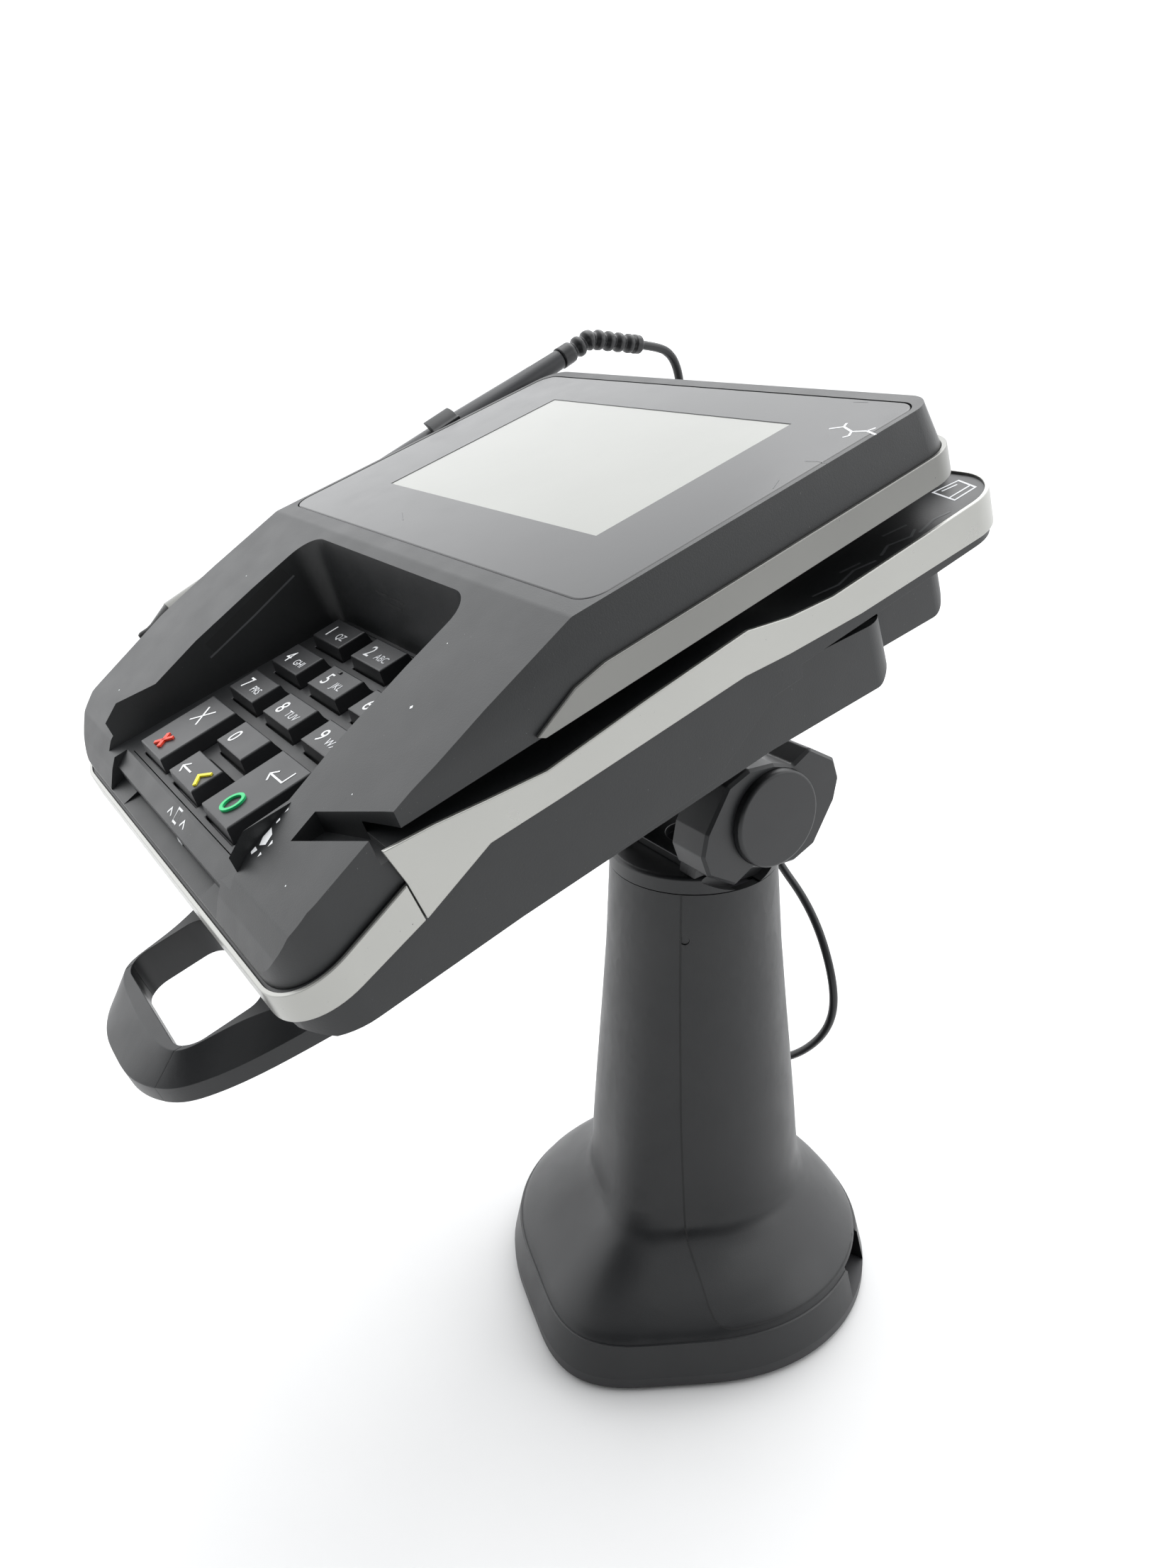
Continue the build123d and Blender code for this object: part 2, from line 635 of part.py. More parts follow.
def handle_outline(height, half_sizes):
    """Outline of the handle's loop: a smooth curve through half widths at given places along."""
    right = [(across, along) for across, along in half_sizes]
    left = [(-across, along) for across, along in reversed(half_sizes)]
    with BuildSketch(level(height)) as outline:
        with BuildLine():
            Spline(*right, (0, half_sizes[-1][1] - 0.3), *left)
            Line(left[-1], right[0])
        make_face()
    return outline.sketch


with BuildPart() as handle_loop:
    outer = [(36, -78), (33.9, -89.3), (31.6, -102.2), (26.8, -117.4), (24, -122), (17, -127.2), (8, -129.8)]
    inner = [(34, -78), (30.5, -92), (25, -104), (23.2, -112), (21, -118), (15, -120.6), (8, -121.2)]
    extrude(handle_outline(handle_bottom, outer), amount=handle_waist - handle_bottom)
    loft([handle_outline(handle_waist, outer), handle_outline(handle_top, inner)], ruled=True)
    extrude(plan(handle_bottom - 1, 22.4, -118.2, -97, 6, 5), amount=14, mode=Mode.SUBTRACT)

grip_ends = [(20.4, -117), (17.6, -136), (-17.6, -136), (-20.4, -117)]
with BuildPart() as handle_grip:
    add(handle_loop.part)
    extrude(polygon(level(-80), grip_ends), amount=20, mode=Mode.INTERSECT)
save(handle_grip, "handle_grip")

with BuildPart() as handle_frame:
    add(handle_loop.part)
    extrude(polygon(level(-80), grip_ends), amount=20, mode=Mode.SUBTRACT)
    neck = [
        (-95, -70), (-84, cradle_bottom(-84)), (-50, cradle_bottom(-50)), (-50, -54), (-66, -66),
        (-78, handle_bottom), (-95, handle_bottom),
    ]  # fmt: skip
    extrude(profile(-28, neck), amount=56)
save(handle_frame, "handle_frame")

# ================================================================ stylus and its holder
stylus_rise = degrees(atan2(0.11, 1))
stylus_across = -82.2
stylus_plane = Plane(
    origin=glass_plane.from_local_coords((stylus_across, 0, -8.6)),
    x_dir=(1, 0, 0),
    z_dir=(0, cos(radians(tilt + stylus_rise)), sin(radians(tilt + stylus_rise))),
)  # its z runs from the nib to the tail


def turned(points):
    """A solid of revolution about the stylus's axis: points are (distance from the nib's middle, radius)."""
    start, end = points[0][0], points[-1][0]
    along_barrel = Plane(origin=stylus_plane.origin, x_dir=stylus_plane.x_dir, z_dir=-stylus_plane.y_dir)
    with BuildSketch(along_barrel) as outline:
        with BuildLine():
            Polyline((0, start), *[(radius, along) for along, radius in points], (0, end), close=True)
        make_face()
    return outline.sketch


stylus_axis = Axis(stylus_plane.origin, stylus_plane.z_dir)
with BuildPart() as stylus_nib:
    revolve(turned([(-71, 0.9), (-70.2, 1.3), (-68, 1.3), (-66.5, 1.6), (-60.5, 3.9)]), stylus_axis)
save(stylus_nib, "stylus_nib")

with BuildPart() as stylus_sleeve:
    revolve(turned([(-60.5, 4.1), (-46, 4.4)]), stylus_axis)
save(stylus_sleeve, "stylus_sleeve")

with BuildPart() as stylus_barrel:
    revolve(turned([(-46, 4.4), (16, 4.5), (40, 4.2), (62, 3.4), (80, 2.9)]), stylus_axis)
save(stylus_barrel, "stylus_barrel")

tail_start, tail_bend, tail_droop = 80, 92.3, -8
bend_point = Vector(*stylus_plane.from_local_coords((0, 0, tail_bend)))
droop_way = Vector(0, cos(radians(tail_droop)), sin(radians(tail_droop)))
tail_end = bend_point + droop_way * 19.2
with BuildPart() as strain_relief:
    with BuildLine() as tail_line:
        FilletPolyline(stylus_plane.from_local_coords((0, 0, tail_start)), bend_point, tail_end, radius=18)
    with BuildSketch(Plane(tail_line.line @ 0, z_dir=tail_line.line % 0)):
        Circle(3.3)
    sweep()
save(strain_relief, "strain_relief")

with BuildPart() as stylus_holder:
    for along in (-34, 30):
        with BuildSketch(stylus_plane.offset(along)):
            Circle(6.6)
            with Locations((5, 0)):
                Rectangle(9.9, 9)
            Circle(4.5 + gap, mode=Mode.SUBTRACT)
            with Locations((-4.95, -4.95)):
                Rectangle(14, 2 * (4.5 + gap), rotation=45, mode=Mode.SUBTRACT)
        extrude(amount=9)
    extrude(plan(-60, half_width + 0.7, front_end, body_back, 13, 12), amount=80, mode=Mode.SUBTRACT)
save(stylus_holder, "stylus_holder")

# ================================================================ stylus cord
cord_radius = 1.4
clip_along, clip_height = 86.5, -45


def clip_point(across):
    """A point on the clip's bore, behind the cable cover."""
    return Vector(*glass_plane.from_local_coords((across, clip_along, clip_height)))


with BuildPart() as cord_clip:
    extrude(slab(level(clip_height - 3), 11, 6.2, (-45, clip_along - 0.3)), amount=6)
    with BuildSketch(side(-60)):
        with Locations((clip_along, clip_height)):
            Circle(cord_radius + 0.05)
    extrude(amount=40, mode=Mode.SUBTRACT)
save(cord_clip, "cord_clip")

plug_end = Vector(*glass_plane.from_local_coords((*plug_place, -66)))
plug_lead = Vector(*glass_plane.from_local_coords((*plug_place, -83)))
with BuildPart() as cord_plug:
    extrude(circles(level(-58.4), [plug_place], 3.4), amount=9)
    extrude(circles(level(-58.8), [plug_place], 4.8), amount=1.3)
    extrude(circles(level(-66), [plug_place], 2.5), amount=7.4)
save(cord_plug, "cord_plug")


def cord(points, name):
    """A round cord: straight runs joined by arcs, each using nine tenths of half its shorter run."""
    points = [Vector(*point) for point in points]
    radii = []
    with BuildPart() as tube:
        with BuildLine() as route:
            start = points[0]
            for before, corner, after in zip(points, points[1:], points[2:]):
                way_in = (corner - before).normalized()
                way_out = (after - corner).normalized()
                half_turn = radians(way_in.get_angle(way_out)) / 2
                reach = 0.45 * min((corner - before).length, (after - corner).length)
                radius = reach / tan(half_turn)
                radii.append(round(radius, 1))
                inward = (way_out - way_in).normalized()
                middle = corner + inward * (radius / cos(half_turn) - radius)
                Line(start, corner - way_in * reach)
                ThreePointArc(corner - way_in * reach, middle, corner + way_out * reach)
                start = corner + way_out * reach
            Line(start, points[-1])
        with BuildSketch(Plane(route.line @ 0, z_dir=route.line % 0)):
            Circle(cord_radius)
        sweep()
    save(tube, name)
    length, volume = route.wires()[0].length, tube.part.volume
    print(name, "length", round(length, 1), "volume", round(volume, 1), "radii", radii)


cord(
    [
        tail_end + droop_way * gap, (-82.2, 58, 275.5), (-81.5, 61.5, 262), (-76, 54, 248), (-66, 41, 239),
        clip_point(-55), clip_point(-45.2),
    ],
    "stylus_cord_upper",
)  # fmt: skip
cord(
    [
        clip_point(-44.8), clip_point(-31), (-22, 40, 217), (-25, 46, 190), (-38, 51, 160), (-40, 54, 134),
        (-27, 55, 114.5), (-5, 55, 102.5), (6.9, 55, 79), (5.6, 55, 62), (-9.5, 54.5, 42.5), (-27, 52, 30),
        (-47, 47, 36), (-59, 42, 56), (-63, 38, 88), (-62, 35, 125), (-57, 32, 160), plug_lead, plug_end,
    ],
    "stylus_cord_lower",
)  # fmt: skip
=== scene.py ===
import json
from math import cos, pi, radians, sin

import bmesh
import bpy
from mathutils import Matrix, Vector
from mathutils.bvhtree import BVHTree


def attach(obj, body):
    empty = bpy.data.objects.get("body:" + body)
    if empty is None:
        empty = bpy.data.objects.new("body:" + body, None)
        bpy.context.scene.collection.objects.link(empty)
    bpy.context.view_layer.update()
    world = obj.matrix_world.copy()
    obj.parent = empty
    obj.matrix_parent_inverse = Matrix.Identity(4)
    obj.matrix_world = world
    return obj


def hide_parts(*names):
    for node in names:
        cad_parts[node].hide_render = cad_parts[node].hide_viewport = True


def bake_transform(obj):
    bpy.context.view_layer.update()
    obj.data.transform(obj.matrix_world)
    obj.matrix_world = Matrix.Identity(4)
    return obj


# Card payment terminal on its stand.
# Metres, +Z up, -Y towards the user, origin on the counter under the column.
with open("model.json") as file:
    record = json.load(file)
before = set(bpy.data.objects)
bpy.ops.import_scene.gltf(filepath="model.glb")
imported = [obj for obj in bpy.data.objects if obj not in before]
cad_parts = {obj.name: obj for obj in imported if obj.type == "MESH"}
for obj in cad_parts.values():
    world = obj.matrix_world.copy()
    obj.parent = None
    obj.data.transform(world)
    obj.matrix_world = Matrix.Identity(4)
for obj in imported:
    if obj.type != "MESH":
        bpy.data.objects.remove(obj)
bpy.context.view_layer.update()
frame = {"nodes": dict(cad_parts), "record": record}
mm = 0.001

# ---------------------------------------------------------------- places
tilt, key_slope = radians(18.2), radians(2.8)


def leaning_frame(origin, lean):
    """A frame leaning towards the user: x right, y up the face, z out of it, in millimetres."""
    across = Vector((1, 0, 0))
    out = Vector((0, -sin(lean), cos(lean)))
    up = out.cross(across)
    turn = Matrix((across, up, out)).transposed().to_4x4()
    return Matrix.Translation(Vector(origin) * mm) @ turn @ Matrix.Scale(mm, 4)


glass = leaning_frame((0, -62, 250), tilt)  # z = 0 is the screen's face
key_height = 3.4
keypad_origin = glass @ Vector((0, -60, -20.4 - key_height)) / mm
keypad = leaning_frame(keypad_origin, tilt + key_slope)  # z = 0 is the frame's top


# ---------------------------------------------------------------- materials
def material(
    name, colour, roughness, metallic=0.0, grain=0.0, grain_size=0.35, tint=0.04, smear=0.03, wear=None
):  # fmt: skip
    """A procedural finish: fine moulded grain, cloudy colour and roughness, and pale flecks of wear."""
    made = bpy.data.materials.new(name)
    made.use_nodes = True
    nodes, links = made.node_tree.nodes, made.node_tree.links
    surface = nodes["Principled BSDF"]
    surface.inputs["Metallic"].default_value = metallic
    place = nodes.new("ShaderNodeTexCoord")

    def clouds(size, detail=4.0):
        noise = nodes.new("ShaderNodeTexNoise")
        noise.inputs["Scale"].default_value = 1 / (size * mm)
        noise.inputs["Detail"].default_value = detail
        links.new(place.outputs["Object"], noise.inputs["Vector"])
        return noise.outputs["Fac"]

    def spread(source, low, high, from_low=0.3, from_high=0.7):
        ramp = nodes.new("ShaderNodeMapRange")
        ramp.inputs["From Min"].default_value = from_low
        ramp.inputs["From Max"].default_value = from_high
        ramp.inputs["To Min"].default_value = low
        ramp.inputs["To Max"].default_value = high
        links.new(source, ramp.inputs["Value"])
        return ramp.outputs["Result"]

    shade = nodes.new("ShaderNodeMix")
    shade.data_type = "RGBA"
    shade.inputs["A"].default_value = (*[c * (1 - tint) for c in colour], 1)
    shade.inputs["B"].default_value = (*[min(1, c * (1 + tint)) for c in colour], 1)
    links.new(spread(clouds(18), 0, 1), shade.inputs["Factor"])
    colour_out = shade.outputs["Result"]
    if wear:
        fleck_colour, fleck_size, threshold = wear
        flecks = nodes.new("ShaderNodeMix")
        flecks.data_type = "RGBA"
        links.new(spread(clouds(fleck_size, 6), 0, 1, threshold, threshold + 0.02), flecks.inputs["Factor"])
        links.new(colour_out, flecks.inputs["A"])
        flecks.inputs["B"].default_value = (*fleck_colour, 1)
        colour_out = flecks.outputs["Result"]
    links.new(colour_out, surface.inputs["Base Color"])
    links.new(spread(clouds(9, 5), roughness - smear, roughness + smear), surface.inputs["Roughness"])
    if grain:
        bump = nodes.new("ShaderNodeBump")
        bump.inputs["Strength"].default_value = grain
        bump.inputs["Distance"].default_value = 0.05 * mm
        links.new(clouds(grain_size, 2), bump.inputs["Height"])
        links.new(bump.outputs["Normal"], surface.inputs["Normal"])
    return made


finishes = {
    "casing": material(
        "casing", (0.0125, 0.0135, 0.0145), 0.43, grain=0.45, wear=((0.11, 0.11, 0.11), 0.55, 0.74)
    ),  # fmt: skip
    "stand_black": material(
        "stand_black", (0.0105, 0.0112, 0.0125), 0.40, grain=0.3, wear=((0.05, 0.05, 0.05), 0.5, 0.77)
    ),  # fmt: skip
    "silver_trim": material(
        "silver_trim", (0.21, 0.21, 0.20), 0.34, metallic=0.85, grain=0.1, tint=0.03,
        wear=((0.10, 0.10, 0.10), 0.6, 0.745),
    ),
    "screen_surround": material(
        "screen_surround", (0.013, 0.0135, 0.0145), 0.2, tint=0.06, smear=0.03,
        wear=((0.16, 0.16, 0.16), 0.35, 0.785),
    ),
    "screen_pane": material("screen_pane", (0.27, 0.275, 0.255), 0.2, tint=0.02, smear=0.03),
    "display_module": material("display_module", (0.45, 0.47, 0.46), 0.3),
    "keypad_black": material("keypad_black", (0.009, 0.0095, 0.0105), 0.42, grain=0.3),
    "key_grey": material("key_grey", (0.014, 0.0145, 0.016), 0.36, grain=0.35, grain_size=0.3),
    "silicone": material("silicone", (0.12, 0.12, 0.12), 0.6),
    "circuit_board": material("circuit_board", (0.02, 0.12, 0.05), 0.35),
    "reader_metal": material("reader_metal", (0.5, 0.5, 0.5), 0.35, metallic=1.0),
    "engineering_plastic": material("engineering_plastic", (0.1, 0.1, 0.11), 0.5, grain=0.2),
    "steel": material("steel", (0.5, 0.5, 0.5), 0.32, metallic=1.0, grain=0.1),
    "steel_dark": material("steel_dark", (0.03, 0.03, 0.032), 0.45, metallic=0.3, grain=0.2),
    "rubber_black": material("rubber_black", (0.012, 0.012, 0.012), 0.75, grain=0.5),
    "cord_black": material("cord_black", (0.011, 0.0115, 0.013), 0.38, grain=0.15),
    "stylus_body": material("stylus_body", (0.018, 0.019, 0.022), 0.40, grain=0.2),
    "stylus_tip_black": material("stylus_tip_black", (0.008, 0.008, 0.008), 0.35, grain=0.1),
}
# A brighter copy of the silver trim for the side and front trims: a painted highlight.
silver_painted_highlight = material(
    "silver_painted_highlight", (0.40, 0.40, 0.38), 0.30, metallic=0.8, grain=0.1, tint=0.02,
    wear=((0.12, 0.12, 0.12), 0.6, 0.74),
)  # fmt: skip
# Near-black for the cover seam and the back wall's slots; on the left wall's recess it is painted shade.
gap_and_recess_shade_black = material("gap_and_recess_shade_black", (0.006, 0.0065, 0.007), 0.55, grain=0.2)
prints_marks_and_highlight = {
    "white": material("ink_white", (0.78, 0.79, 0.80), 0.5, tint=0.05, grain=0.1),
    "grey": material("ink_grey", (0.64, 0.65, 0.67), 0.5, tint=0.08, grain=0.1),
    # faint: scratches and streaks, and also a painted highlight along the left wall recess's lip.
    "faint": material("faint_scratch_and_highlight", (0.085, 0.088, 0.092), 0.45, tint=0.08, grain=0.1),
    "red": material("ink_red", (0.80, 0.05, 0.02), 0.4, tint=0.05, grain=0.1),
    "yellow": material("ink_yellow", (0.80, 0.70, 0.02), 0.4, tint=0.05, grain=0.1),
    "green": material("ink_green", (0.01, 0.50, 0.16), 0.4, tint=0.05, grain=0.1),
}
slot_of = {part["node"]: part["material_slot"] for part in frame["record"]["subparts"]}
body_of = {node: body for body, nodes in frame["record"]["behaviour"]["bodies"].items() for node in nodes}


# ---------------------------------------------------------------- helpers
def show(name, mesh, body, finish):
    """Adds a mesh already in the row frame as a piece that moves with a body."""
    piece = bpy.data.objects.new(name, mesh)
    bpy.context.scene.collection.objects.link(piece)
    mesh.materials.clear()
    mesh.materials.append(finish)
    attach(piece, body)
    return piece


def smooth(piece, angle=35):
    """Smooth shading with creases kept where faces meet at more than the angle."""
    for face in piece.data.polygons:
        face.use_smooth = True
    piece.data.set_sharp_from_angle(angle=radians(angle))


def soften(node, width, segments=3, angle=30):
    """Stands in for a CAD node with the same shape and rounded edges, width in millimetres."""
    mesh = frame["nodes"][node].data.copy()
    shape = bmesh.new()
    shape.from_mesh(mesh)
    bmesh.ops.remove_doubles(shape, verts=shape.verts, dist=2e-6)
    bmesh.ops.dissolve_limit(shape, angle_limit=radians(0.6), verts=shape.verts, edges=shape.edges)
    shape.to_mesh(mesh)
    shape.free()
    if "custom_normal" in mesh.attributes:
        mesh.attributes.remove(mesh.attributes["custom_normal"])
    piece = show(node + "_shaped", mesh, body_of[node], finishes[slot_of[node]])
    for face in mesh.polygons:
        face.use_smooth = True
    rounding = piece.modifiers.new("rounded_edges", "BEVEL")
    rounding.width = width * mm
    rounding.segments = segments
    rounding.limit_method = "ANGLE"
    rounding.angle_limit = radians(angle)
    rounding.use_clamp_overlap = True
    normals = piece.modifiers.new("flat_faces", "WEIGHTED_NORMAL")
    normals.keep_sharp = True
    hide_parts(node)
    return piece


def block(name, place, centre, size, body, finish, rounding=0.2):
    """A small box with rounded edges on a leaning frame, millimetres."""
    mesh = bpy.data.meshes.new(name)
    shape = bmesh.new()
    bmesh.ops.create_cube(shape, size=1)
    bmesh.ops.scale(shape, vec=size, verts=shape.verts)
    bmesh.ops.translate(shape, vec=centre, verts=shape.verts)
    if rounding:
        bmesh.ops.bevel(shape, geom=shape.edges[:], offset=rounding, segments=2, affect="EDGES", profile=0.5)
    bmesh.ops.transform(shape, matrix=place, verts=shape.verts)
    shape.to_mesh(mesh)
    shape.free()
    piece = show(name, mesh, body, finish)
    smooth(piece)
    return piece


def ribbon(name, place, lines, width, height, thickness, body, finish):
    """Lines of an even width, flat or raised, in millimetres; a line that ends where it starts is closed."""
    mesh = bpy.data.meshes.new(name)
    shape = bmesh.new()
    for line in lines:
        points = [Vector(point) for point in line]
        closed = (points[0] - points[-1]).length < 1e-6
        if closed:
            points.pop()
        rails = []
        for index, point in enumerate(points):
            ways = []
            if closed or index:
                ways.append((point - points[index - 1]).normalized())
            if closed or index < len(points) - 1:
                ways.append((points[(index + 1) % len(points)] - point).normalized())
            along = sum(ways, Vector((0, 0))).normalized()
            aside = Vector((-along.y, along.x)) * (width / 2 / max(0.5, along.dot(ways[0])))
            rails.append([shape.verts.new((*(point + aside * way), height)) for way in (-1, 1)])
        after = rails[1:] + rails[:1] if closed else rails[1:]
        faces = [shape.faces.new((one[0], two[0], two[1], one[1])) for one, two in zip(rails, after)]
        if thickness:
            raised = bmesh.ops.extrude_face_region(shape, geom=faces)
            moved = [v for v in raised["geom"] if isinstance(v, bmesh.types.BMVert)]
            bmesh.ops.translate(shape, vec=(0, 0, thickness), verts=moved)
    if thickness:
        bmesh.ops.recalc_face_normals(shape, faces=shape.faces)
    bmesh.ops.transform(shape, matrix=place, verts=shape.verts)
    shape.to_mesh(mesh)
    shape.free()
    return show(name, mesh, body, finish)


def spots(name, place, outlines, height, body, finish):
    """Flat marks from closed outlines, millimetres."""
    mesh = bpy.data.meshes.new(name)
    shape = bmesh.new()
    for outline in outlines:
        face = shape.faces.new([shape.verts.new((x, y, height)) for x, y in outline])
        face.normal_update()
        if face.normal.z < 0:
            face.normal_flip()
    bmesh.ops.transform(shape, matrix=place, verts=shape.verts)
    shape.to_mesh(mesh)
    shape.free()
    return show(name, mesh, body, finish)


def lay(piece, node, place, way, lift=0.04):
    """Drops a mark's points along a direction onto a CAD piece's surface."""
    shape = bmesh.new()
    shape.from_mesh(frame["nodes"][node].data)
    tree = BVHTree.FromBMesh(shape)
    heading = (place.to_3x3() @ Vector(way)).normalized()
    for vertex in piece.data.vertices:
        spot = tree.ray_cast(vertex.co, heading)[0]
        if spot is None:
            print("no surface under", piece.name)
        else:
            vertex.co = spot - heading * lift * mm
    shape.free()
    return piece


def arc(centre, radii, start, end, steps=24):
    """Points on an elliptical arc, angles in degrees."""
    turns = [radians(start + (end - start) * step / steps) for step in range(steps + 1)]
    return [(centre[0] + radii[0] * cos(turn), centre[1] + radii[1] * sin(turn)) for turn in turns]


def lettering(name, text, place, at, size, height, thickness, body, finish):
    """Flat letters, centred at a point on a leaning frame, millimetres."""
    curve = bpy.data.curves.new(name, "FONT")
    curve.body = text
    curve.size = size
    curve.align_x = "CENTER"
    curve.align_y = "CENTER"
    curve.extrude = thickness / 2
    curve.resolution_u = 4
    typed = bpy.data.objects.new(name, curve)
    bpy.context.scene.collection.objects.link(typed)
    bpy.context.view_layer.update()
    mesh = bpy.data.meshes.new_from_object(typed.evaluated_get(bpy.context.evaluated_depsgraph_get()))
    bpy.data.objects.remove(typed)
    mesh.transform(place @ Matrix.Translation((at[0], at[1], height)))
    return show(name, mesh, body, finish)


# ---------------------------------------------------------------- camera
camera_data = bpy.data.cameras.new("camera")
camera_data.sensor_width = 36
camera_data.lens = 27.44
camera_data.clip_start = 0.01
camera = bpy.data.objects.new("camera", camera_data)
bpy.context.scene.collection.objects.link(camera)
view_right, view_up = Vector((0.5555, 0.8307, -0.0357)), Vector((-0.3040, 0.2430, 0.9212))
view_back = view_right.cross(view_up).normalized()
turn = Matrix((view_right.normalized(), view_back.cross(view_right).normalized(), view_back)).transposed()
camera.matrix_world = Matrix.Translation((0.2456, -0.1944, 0.2966)) @ turn.to_4x4()
bpy.context.scene.camera = camera

# ---------------------------------------------------------------- cords
slack_route = [
    (-82.2, 43.0, 277.5), (-82.2, 49.5, 276.6), (-82.2, 55.5, 274.6), (-81.8, 58.6, 269.5), (-81.0, 59.3, 262.0),
    (-77.5, 55.5, 252.0), (-70.5, 47.0, 243.5), (-60.0, 37.6, 236.4), (-52.0, 34.6, 234.5), (-45.5, 34.2, 234.3),
]  # fmt: skip
hanging_route = [
    (-45.0, 34.2, 234.3), (-37.0, 34.2, 234.3), (-27.5, 36.2, 229.0), (-22.9, 40.5, 214.0), (-25.6, 46.2, 189.0),
    (-36.6, 50.6, 160.0), (-38.6, 53.4, 135.0), (-27.2, 54.9, 116.0), (-5.8, 55.0, 102.5), (5.6, 55.0, 80.0),
    (4.9, 55.0, 62.5), (-9.0, 54.4, 43.5), (-27.0, 51.6, 32.0), (-46.0, 46.8, 38.0), (-58.0, 42.0, 58.0),
    (-62.3, 38.0, 89.0), (-61.4, 35.0, 125.0), (-56.4, 31.7, 160.0), (-50.4, 28.4, 192.0), (-50.0, 24.0, 206.5),
    (-50.0, 23.2, 208.5),
]  # fmt: skip


def centreline(name, route):
    """Points along the NURBS line through the route, as a list of vectors in the row frame."""
    curve = bpy.data.curves.new(name, "CURVE")
    curve.dimensions = "3D"
    line = curve.splines.new("NURBS")
    line.points.add(len(route) - 1)
    for point, (x, y, z) in zip(line.points, route):
        point.co = (x * mm, y * mm, z * mm, 1)
    line.order_u = 3
    line.use_endpoint_u = True
    line.resolution_u = 12
    drawn = bpy.data.objects.new(name, curve)
    bpy.context.scene.collection.objects.link(drawn)
    bpy.context.view_layer.update()
    mesh = bpy.data.meshes.new_from_object(drawn.evaluated_get(bpy.context.evaluated_depsgraph_get()))
    points = [v.co.copy() for v in mesh.vertices]
    bpy.data.objects.remove(drawn)
    bpy.data.meshes.remove(mesh)
    return points


def tube_mesh(name, points, radii, sides=16):
    """A closed tube along points, one radius for each."""
    mesh = bpy.data.meshes.new(name)
    shape = bmesh.new()
    rings = []
    heading = (points[1] - points[0]).normalized()
    normal = heading.orthogonal().normalized()
    for index, (point, radius) in enumerate(zip(points, radii)):
        ahead = points[min(index + 1, len(points) - 1)] - points[max(index - 1, 0)]
        ahead.normalize()
        normal = (normal - ahead * normal.dot(ahead)).normalized()
        aside = ahead.cross(normal)
        ring = []
        for step in range(sides):
            angle = 2 * pi * step / sides
            ring.append(shape.verts.new(point + (normal * cos(angle) + aside * sin(angle)) * radius))
        rings.append(ring)
    for one, two in zip(rings, rings[1:]):
        for step in range(sides):
            shape.faces.new((one[step], one[(step + 1) % sides], two[(step + 1) % sides], two[step]))
    shape.faces.new(list(reversed(rings[0])))
    shape.faces.new(rings[-1])
    bmesh.ops.recalc_face_normals(shape, faces=shape.faces)
    shape.to_mesh(mesh)
    shape.free()
    for face in mesh.polygons:
        face.use_smooth = len(face.vertices) == 4
    return mesh


def run_length(points):
    return sum((b - a).length for a, b in zip(points, points[1:]))


cord_radius = 1.4 * mm


def cord_piece(name, route, node):
    """A cord as a mesh tube along a route, standing in for a CAD node."""
    points = centreline(name, route)
    mesh = tube_mesh(name, points, [cord_radius] * len(points))
    mesh.materials.append(finishes["cord_black"])
    piece = bpy.data.objects.new(name, mesh)
    bpy.context.scene.collection.objects.link(piece)
    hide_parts(node)
    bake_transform(piece)
    return piece


cord_piece(
    "stylus_cord_slack", slack_route, "stylus_cord_upper",
)  # fmt: skip
cord_piece(
    "stylus_cord_loop", hanging_route, "stylus_cord_lower",
)  # fmt: skip

# ---------------------------------------------------------------- grooved strain relief
stylus_rise = tilt + 0.1096
nib_to_tail = Vector((0, cos(stylus_rise), sin(stylus_rise)))
droop_way = Vector((0, cos(radians(8)), -sin(radians(8))))
nib_origin = glass @ Vector((-82.2, 0, -8.6)) / mm
tail_bend = nib_origin + nib_to_tail * 92.3
tail_route = [nib_origin + nib_to_tail * 80, tail_bend - nib_to_tail * 3, tail_bend, tail_bend + droop_way * 3]
tail_route += [tail_bend + droop_way * along for along in (8, 13, 19.2)]
tail_points = centreline("strain_line", tail_route)
tail_length = run_length(tail_points)
fine_points, fine_radii = [], []
walked = 0
for one, two in zip(tail_points, tail_points[1:]):
    for part in (0, 0.5):
        point = one.lerp(two, part)
        share = (walked + (two - one).length * part) / tail_length
        fine_points.append(point)
        groove = 0.5 - 0.5 * cos(2 * pi * 6.5 * (share - 0.12) / 0.8) if 0.12 < share < 0.92 else 0
        fine_radii.append((3.25 - 0.35 * share - 0.95 * groove**2) * mm)
    walked += (two - one).length
fine_points.append(tail_points[-1])
fine_radii.append(2.6 * mm)
relief = show(
    "strain_relief_grooved", tube_mesh("strain_relief_grooved", fine_points, fine_radii, 20), "stylus",
    finishes[slot_of["strain_relief"]],
)  # fmt: skip
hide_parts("strain_relief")

# ---------------------------------------------------------------- softened CAD pieces
edge_widths = {
    "base_shell": 0.8, "rear_cover": 0.8, "base_plate": 0.4, "foot_pad": 0.3, "swivel_collar": 0.5, "yoke": 0.8,
    "axle_nut": 0.5, "tilt_knob": 0.9, "knob_cap": 0.4, "head_housing": 0.9, "lower_housing": 0.8, "cradle": 0.7,
    "cable_cover": 0.8, "upper_trim": 0.22, "side_trim": 0.25, "front_trim": 0.25, "screen_bezel": 0.2,
    "keypad_frame": 0.25, "tilt_bracket": 0.9, "handle_frame": 1.1, "handle_grip": 0.9, "stylus_holder": 0.5,
    "cord_clip": 0.5, "cord_plug": 0.4, "magnetic_head": 0.4, "stylus_sleeve": 0.2, "stylus_barrel": 0.2,
    "stylus_nib": 0.15,
}  # fmt: skip
for node, width in edge_widths.items():
    soften(node, width)
